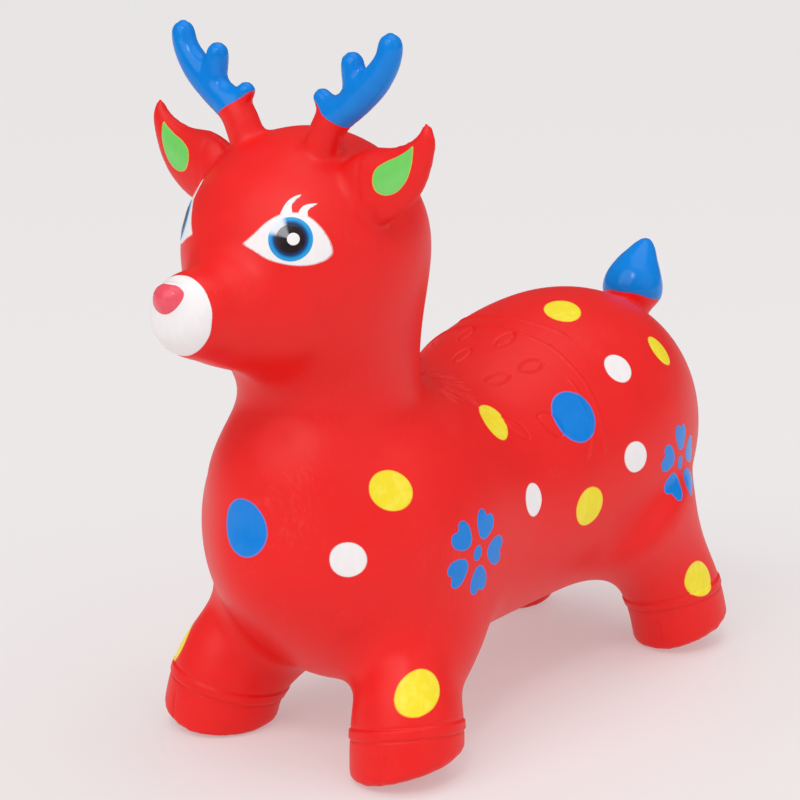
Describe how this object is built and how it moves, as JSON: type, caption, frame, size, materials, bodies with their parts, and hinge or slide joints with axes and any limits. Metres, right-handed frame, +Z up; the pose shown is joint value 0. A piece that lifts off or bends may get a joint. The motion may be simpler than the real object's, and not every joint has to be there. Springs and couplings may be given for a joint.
{
  "type": "bouncy ride-on animal",
  "caption": "Air-filled soft vinyl deer that a small child sits on and bounces along, holding the antlers.",
  "frame": {"origin": "centre of the bounding box's underside, on the floor between the hooves", "axes": "+Z up, the deer looks along -Y, its left side is at +X"},
  "size_m": [0.2632, 0.6258, 0.5362],
  "materials": {
    "red_vinyl": "semi-matte soft vinyl",
    "blue_vinyl": "semi-matte sprayed soft vinyl",
    "valve_vinyl": "smooth soft vinyl"
  },
  "bodies": {
    "torso": {"torso_skin": "red_vinyl", "neck_flex_band": "red_vinyl", "hip_flex_band_front_left": "red_vinyl", "hip_flex_band_front_right": "red_vinyl", "hip_flex_band_rear_left": "red_vinyl", "hip_flex_band_rear_right": "red_vinyl", "tail_foot": "red_vinyl", "valve_seat": "valve_vinyl"},
    "head": {"head_skin": "red_vinyl", "ear_root_left": "red_vinyl", "ear_root_right": "red_vinyl", "antler_foot_left": "red_vinyl", "antler_foot_right": "red_vinyl"},
    "front_left_leg": {"leg_front_left": "red_vinyl"},
    "front_right_leg": {"leg_front_right": "red_vinyl"},
    "rear_left_leg": {"leg_rear_left": "red_vinyl"},
    "rear_right_leg": {"leg_rear_right": "red_vinyl"},
    "left_ear": {"ear_left": "red_vinyl"},
    "right_ear": {"ear_right": "red_vinyl"},
    "left_antler": {"antler_left": "blue_vinyl"},
    "right_antler": {"antler_right": "blue_vinyl"},
    "tail": {"tail_tip": "blue_vinyl"},
    "plug": {"valve_plug": "valve_vinyl"}
  },
  "joints": [
    {"name": "neck_nod", "type": "hinge", "parent": "torso", "child": "head", "pos_m": [0, -0.138, 0.295], "axis": [1, 0, 0], "range_deg": [-8, 8], "stiffness_Nm_per_rad": 20, "deforming": ["neck_flex_band"]},
    {"name": "front_left_hip_splay", "type": "hinge", "parent": "torso", "child": "front_left_leg", "pos_m": [0.0794, -0.1467, 0.0562], "axis": [0, -1, 0], "range_deg": [-4, 8], "stiffness_Nm_per_rad": 12, "deforming": ["hip_flex_band_front_left"]},
    {"name": "front_right_hip_splay", "type": "hinge", "parent": "torso", "child": "front_right_leg", "pos_m": [-0.0794, -0.1467, 0.0562], "axis": [0, 1, 0], "range_deg": [-4, 8], "stiffness_Nm_per_rad": 12, "deforming": ["hip_flex_band_front_right"]},
    {"name": "rear_left_hip_splay", "type": "hinge", "parent": "torso", "child": "rear_left_leg", "pos_m": [0.0839, 0.2055, 0.0555], "axis": [0, -1, 0], "range_deg": [-4, 8], "stiffness_Nm_per_rad": 12, "deforming": ["hip_flex_band_rear_left"]},
    {"name": "rear_right_hip_splay", "type": "hinge", "parent": "torso", "child": "rear_right_leg", "pos_m": [-0.0839, 0.2055, 0.0555], "axis": [0, 1, 0], "range_deg": [-4, 8], "stiffness_Nm_per_rad": 12, "deforming": ["hip_flex_band_rear_right"]},
    {"name": "left_ear_flex", "type": "hinge", "parent": "head", "child": "left_ear", "pos_m": [0.076, -0.1817, 0.4325], "axis": [0, 0, 1], "range_deg": [-20, 20], "stiffness_Nm_per_rad": 0.25, "deforming": ["ear_root_left"]},
    {"name": "right_ear_flex", "type": "hinge", "parent": "head", "child": "right_ear", "pos_m": [-0.076, -0.1817, 0.4325], "axis": [0, 0, -1], "range_deg": [-20, 20], "stiffness_Nm_per_rad": 0.25, "deforming": ["ear_root_right"]},
    {"name": "left_antler_flex", "type": "hinge", "parent": "head", "child": "left_antler", "pos_m": [0.042, -0.1857, 0.466], "axis": [1, 0, 0], "range_deg": [-14, 14], "stiffness_Nm_per_rad": 1.2, "deforming": ["antler_foot_left"]},
    {"name": "right_antler_flex", "type": "hinge", "parent": "head", "child": "right_antler", "pos_m": [-0.042, -0.1857, 0.466], "axis": [1, 0, 0], "range_deg": [-14, 14], "stiffness_Nm_per_rad": 1.2, "deforming": ["antler_foot_right"]},
    {"name": "tail_flex", "type": "hinge", "parent": "torso", "child": "tail", "pos_m": [0, 0.27, 0.272], "axis": [1, 0, 0], "range_deg": [-20, 15], "stiffness_Nm_per_rad": 0.4, "deforming": ["tail_foot"]},
    {"name": "plug_pull", "type": "slide", "parent": "torso", "child": "plug", "axis": [0, 0, -1], "range_m": [0, 0.022]}
  ]
}
